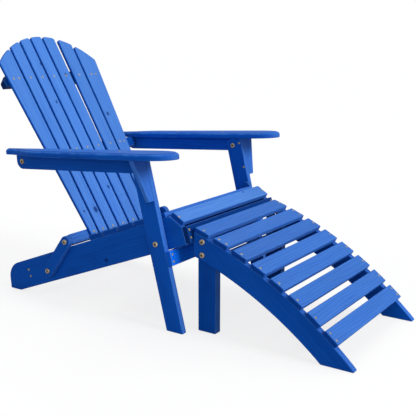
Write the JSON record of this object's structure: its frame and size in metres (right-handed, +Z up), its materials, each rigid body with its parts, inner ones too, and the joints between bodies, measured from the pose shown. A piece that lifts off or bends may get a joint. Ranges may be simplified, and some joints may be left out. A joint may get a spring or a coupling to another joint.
{
  "type": "folding adirondack chair with footrest",
  "caption": "Folding slatted garden armchair with a fanned reclined back, wide armrests and a separate curved slatted footrest, in blue painted wood.",
  "frame": {"origin": "on the floor, under the middle of the chair and its footrest together", "axes": "+X towards the chair's front, +Y towards the sitter's left, +Z up"},
  "size_m": [1.3911, 0.6882, 0.8718],
  "materials": {
    "brass_screws": "yellow zinc-plated countersunk screws",
    "steel_bolts": "plated domed bolt heads with hex sockets",
    "seat_rail_near": "softwood board in blue satin paint, grain and knots showing through",
    "seat_rail_far": "softwood board in blue satin paint, grain and knots showing through",
    "front_slat": "softwood board in blue satin paint, grain and knots showing through",
    "apron": "softwood board in blue satin paint, grain and knots showing through",
    "rear_stretcher": "softwood board in blue satin paint, grain and knots showing through",
    "rest_blocks": "softwood board in blue satin paint, grain and knots showing through",
    "seat_slat_1": "softwood board in blue satin paint, grain and knots showing through",
    "seat_slat_2": "softwood board in blue satin paint, grain and knots showing through",
    "seat_slat_3": "softwood board in blue satin paint, grain and knots showing through",
    "seat_slat_4": "softwood board in blue satin paint, grain and knots showing through",
    "seat_slat_5": "softwood board in blue satin paint, grain and knots showing through",
    "leg_near": "softwood board in blue satin paint, grain and knots showing through",
    "leg_far": "softwood board in blue satin paint, grain and knots showing through",
    "cross_board": "softwood board in blue satin paint, grain and knots showing through",
    "arm_bracket_near": "softwood board in blue satin paint, grain and knots showing through",
    "arm_bracket_far": "softwood board in blue satin paint, grain and knots showing through",
    "link_near": "softwood board in blue satin paint, grain and knots showing through",
    "link_far": "softwood board in blue satin paint, grain and knots showing through",
    "back_slat_1": "softwood board in blue satin paint, grain and knots showing through",
    "back_slat_2": "softwood board in blue satin paint, grain and knots showing through",
    "back_slat_3": "softwood board in blue satin paint, grain and knots showing through",
    "back_slat_4": "softwood board in blue satin paint, grain and knots showing through",
    "back_slat_5": "softwood board in blue satin paint, grain and knots showing through",
    "back_slat_6": "softwood board in blue satin paint, grain and knots showing through",
    "back_slat_7": "softwood board in blue satin paint, grain and knots showing through",
    "top_crossbar": "softwood board in blue satin paint, grain and knots showing through",
    "middle_crossbar": "softwood board in blue satin paint, grain and knots showing through",
    "lower_crossbar": "softwood board in blue satin paint, grain and knots showing through",
    "armrest_near": "softwood board in blue satin paint, grain and knots showing through",
    "arm_rail_near": "softwood board in blue satin paint, grain and knots showing through",
    "armrest_far": "softwood board in blue satin paint, grain and knots showing through",
    "arm_rail_far": "softwood board in blue satin paint, grain and knots showing through",
    "footrest_rail_near": "softwood board in blue satin paint, grain and knots showing through",
    "footrest_rail_far": "softwood board in blue satin paint, grain and knots showing through",
    "footrest_leg_near": "softwood board in blue satin paint, grain and knots showing through",
    "footrest_leg_far": "softwood board in blue satin paint, grain and knots showing through",
    "footrest_stretcher": "softwood board in blue satin paint, grain and knots showing through",
    "footrest_dowels": "plain beech dowels, hidden in the joints",
    "footrest_slat_1": "softwood board in blue satin paint, grain and knots showing through",
    "footrest_slat_2": "softwood board in blue satin paint, grain and knots showing through",
    "footrest_slat_3": "softwood board in blue satin paint, grain and knots showing through",
    "footrest_slat_4": "softwood board in blue satin paint, grain and knots showing through",
    "footrest_slat_5": "softwood board in blue satin paint, grain and knots showing through",
    "footrest_slat_6": "softwood board in blue satin paint, grain and knots showing through",
    "footrest_slat_7": "softwood board in blue satin paint, grain and knots showing through",
    "footrest_slat_8": "softwood board in blue satin paint, grain and knots showing through"
  },
  "bodies": {
    "seat": {"seat_rail_near": "seat_rail_near", "seat_rail_far": "seat_rail_far", "front_slat": "front_slat", "apron": "apron", "rear_stretcher": "rear_stretcher", "rest_blocks": "rest_blocks", "seat_screws": "brass_screws", "leg_bolts": "steel_bolts", "link_bolts": "steel_bolts", "seat_slat_1": "seat_slat_1", "seat_slat_2": "seat_slat_2", "seat_slat_3": "seat_slat_3", "seat_slat_4": "seat_slat_4", "seat_slat_5": "seat_slat_5"},
    "front_legs": {"leg_near": "leg_near", "leg_far": "leg_far", "cross_board": "cross_board", "arm_bracket_near": "arm_bracket_near", "arm_bracket_far": "arm_bracket_far", "leg_screws": "brass_screws", "arm_bolts": "steel_bolts"},
    "link_near": {"link_near": "link_near"},
    "link_far": {"link_far": "link_far"},
    "back": {"back_slat_1": "back_slat_1", "back_slat_2": "back_slat_2", "back_slat_3": "back_slat_3", "back_slat_4": "back_slat_4", "back_slat_5": "back_slat_5", "back_slat_6": "back_slat_6", "back_slat_7": "back_slat_7", "top_crossbar": "top_crossbar", "middle_crossbar": "middle_crossbar", "lower_crossbar": "lower_crossbar", "back_screws": "brass_screws", "lower_bolts": "steel_bolts"},
    "arm_near": {"armrest_near": "armrest_near", "arm_rail_near": "arm_rail_near", "arm_screws_near": "brass_screws", "arm_rear_bolt_near": "steel_bolts"},
    "arm_far": {"armrest_far": "armrest_far", "arm_rail_far": "arm_rail_far", "arm_screws_far": "brass_screws", "arm_rear_bolt_far": "steel_bolts"},
    "footrest": {"footrest_rail_near": "footrest_rail_near", "footrest_rail_far": "footrest_rail_far", "footrest_leg_near": "footrest_leg_near", "footrest_leg_far": "footrest_leg_far", "footrest_stretcher": "footrest_stretcher", "footrest_dowels": "footrest_dowels", "footrest_screws": "brass_screws", "footrest_bolts": "steel_bolts", "footrest_slat_1": "footrest_slat_1", "footrest_slat_2": "footrest_slat_2", "footrest_slat_3": "footrest_slat_3", "footrest_slat_4": "footrest_slat_4", "footrest_slat_5": "footrest_slat_5", "footrest_slat_6": "footrest_slat_6", "footrest_slat_7": "footrest_slat_7", "footrest_slat_8": "footrest_slat_8"}
  },
  "joints": [
    {"name": "legs_fold", "type": "hinge", "parent": "seat", "child": "front_legs", "pos_m": [0.05361, 0, 0.2689], "axis": [0, 1, 0], "range_deg": [0, 83.01]},
    {"name": "link_near_hinge", "type": "hinge", "parent": "seat", "child": "link_near", "pos_m": [-0.41009, 0, 0.1031], "axis": [0, 1, 0], "range_deg": [-61.95, 0]},
    {"name": "link_far_hinge", "type": "hinge", "parent": "seat", "child": "link_far", "pos_m": [-0.41009, 0, 0.1031], "axis": [0, 1, 0], "range_deg": [-62, 0]},
    {"name": "back_hinge", "type": "hinge", "parent": "link_near", "child": "back", "pos_m": [-0.32519, 0, 0.217], "axis": [0, 1, 0], "range_deg": [0, 159.27]},
    {"name": "arm_near_hinge", "type": "hinge", "parent": "back", "child": "arm_near", "pos_m": [-0.48109, 0, 0.4732], "axis": [0, 1, 0], "range_deg": [-94.8, 0]},
    {"name": "arm_far_hinge", "type": "hinge", "parent": "back", "child": "arm_far", "pos_m": [-0.48109, 0, 0.4732], "axis": [0, 1, 0], "range_deg": [-94.8, 0]},
    {"name": "footrest_slide", "type": "slide", "parent": "seat", "child": "footrest", "axis": [1, 0, 0], "range_m": [0, 0.4]}
  ],
  "couplings": [
    {"joint": "link_far_hinge", "follows": "link_near_hinge", "ratio": 1},
    {"joint": "back_hinge", "follows": "link_near_hinge", "ratio": -2.5709},
    {"joint": "legs_fold", "follows": "link_near_hinge", "ratio": -1.3397},
    {"joint": "arm_near_hinge", "follows": "link_near_hinge", "ratio": 1.5281},
    {"joint": "arm_far_hinge", "follows": "link_near_hinge", "ratio": 1.5281}
  ]
}
